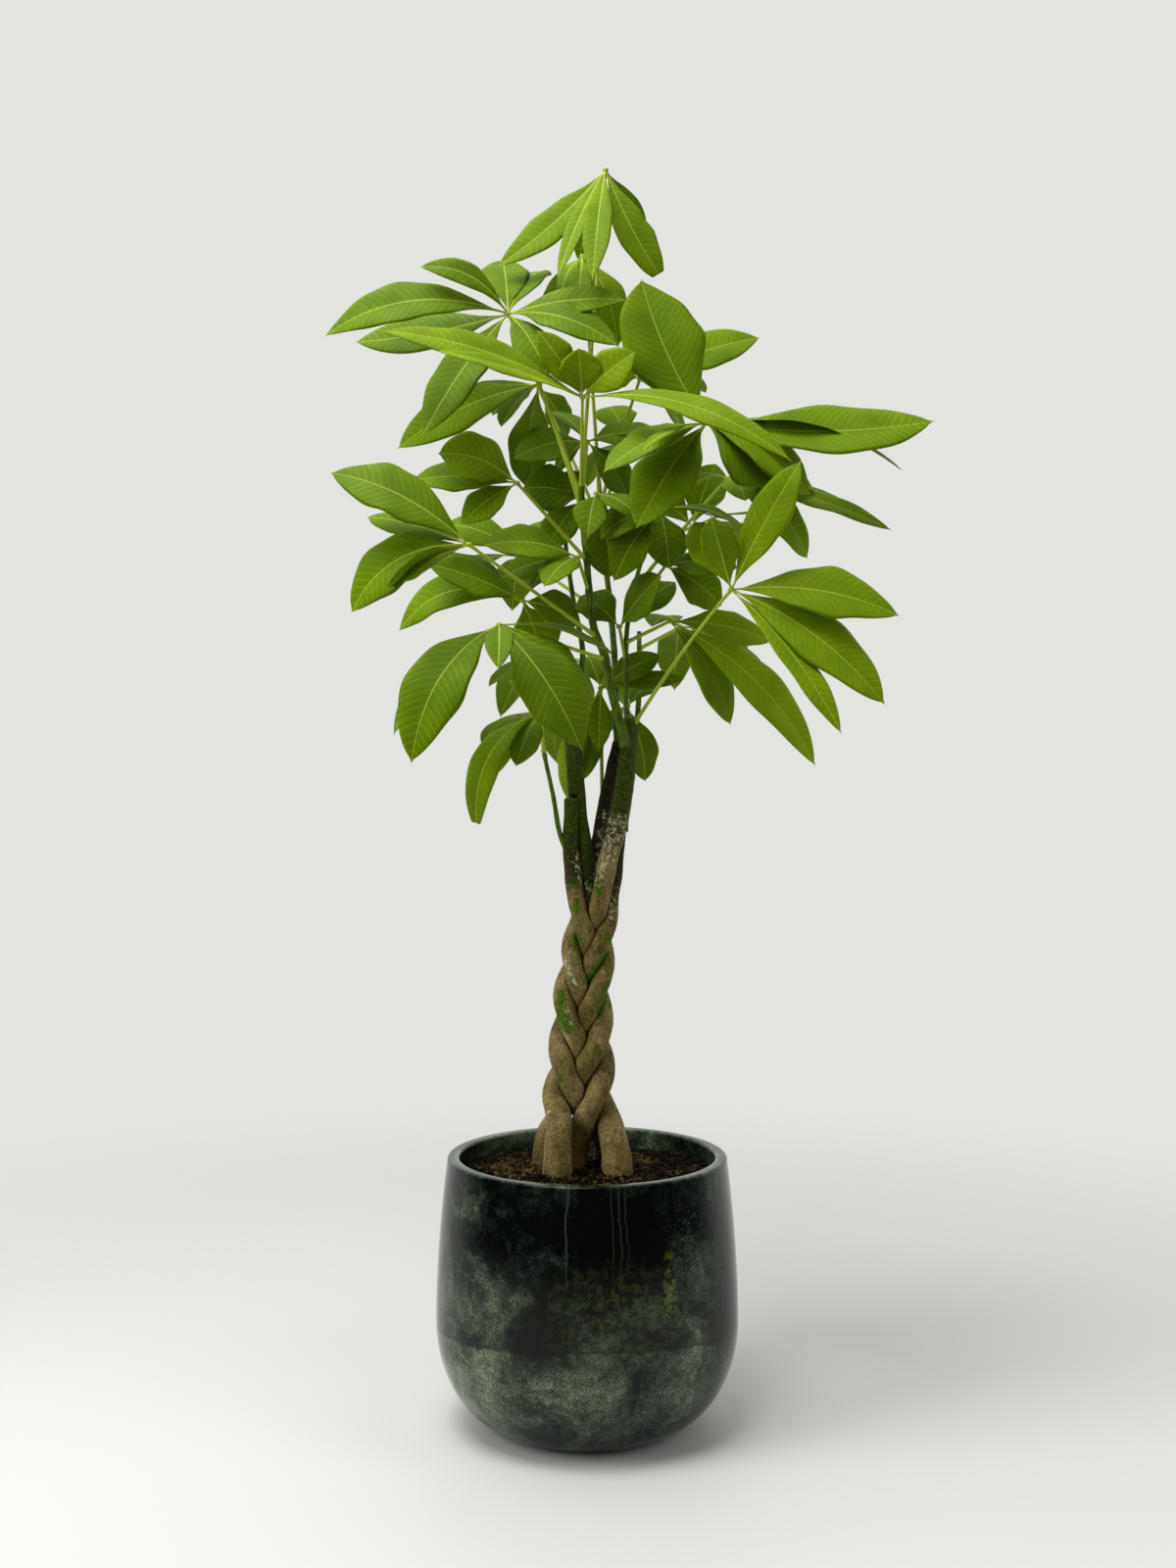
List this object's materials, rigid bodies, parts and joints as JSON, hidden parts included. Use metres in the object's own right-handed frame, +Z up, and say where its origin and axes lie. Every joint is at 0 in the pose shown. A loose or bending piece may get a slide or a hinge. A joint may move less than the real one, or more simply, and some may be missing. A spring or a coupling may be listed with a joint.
{
  "type": "potted money tree",
  "caption": "Money tree with plaited trunks, green shoots and palmate leaves on long stalks, planted in a dark glazed floor pot.",
  "frame": {"origin": "middle of the pot's flat foot, on the floor", "axes": "+Z up; +X to the right and -Y to the front, as the plant is seen from its front"},
  "size_m": [0.6571, 0.5, 1.3754],
  "materials": {
    "glaze": "glossy dark green-black glaze with grey-green marbling",
    "soil": "crumbly dark potting compost",
    "bark": "smooth grey-brown bark with moss and pale lichen",
    "shoot": "green young bark",
    "leaf": "waxy satin leaf with paler veins"
  },
  "bodies": {
    "root": {"pot": "glaze", "soil": "soil", "trunk_1": "bark", "trunk_2": "bark", "trunk_3": "bark", "trunk_4": "bark", "trunk_5": "bark", "shoot_main": "shoot", "shoot_right": "shoot", "shoot_left": "shoot", "shoot_back": "shoot", "shoot_rear": "shoot", "shoot_twig": "shoot", "leaf_01": "leaf", "leaf_02": "leaf", "leaf_03": "leaf", "leaf_04": "leaf", "leaf_05": "leaf", "leaf_06": "leaf", "leaf_07": "leaf", "leaf_08": "leaf", "leaf_09": "leaf", "leaf_10": "leaf", "leaf_11": "leaf", "leaf_12": "leaf", "leaf_13": "leaf", "leaf_14": "leaf", "leaf_15": "leaf", "leaf_16": "leaf", "leaf_17": "leaf", "leaf_18": "leaf", "leaf_19": "leaf", "leaf_20": "leaf", "leaf_21": "leaf", "leaf_22": "leaf", "leaf_23": "leaf", "leaf_24": "leaf", "leaf_25": "leaf", "leaf_26": "leaf", "leaf_27": "leaf", "leaf_28": "leaf", "leaf_29": "leaf", "leaf_30": "leaf", "leaf_31": "leaf"}
  },
  "joints": []
}
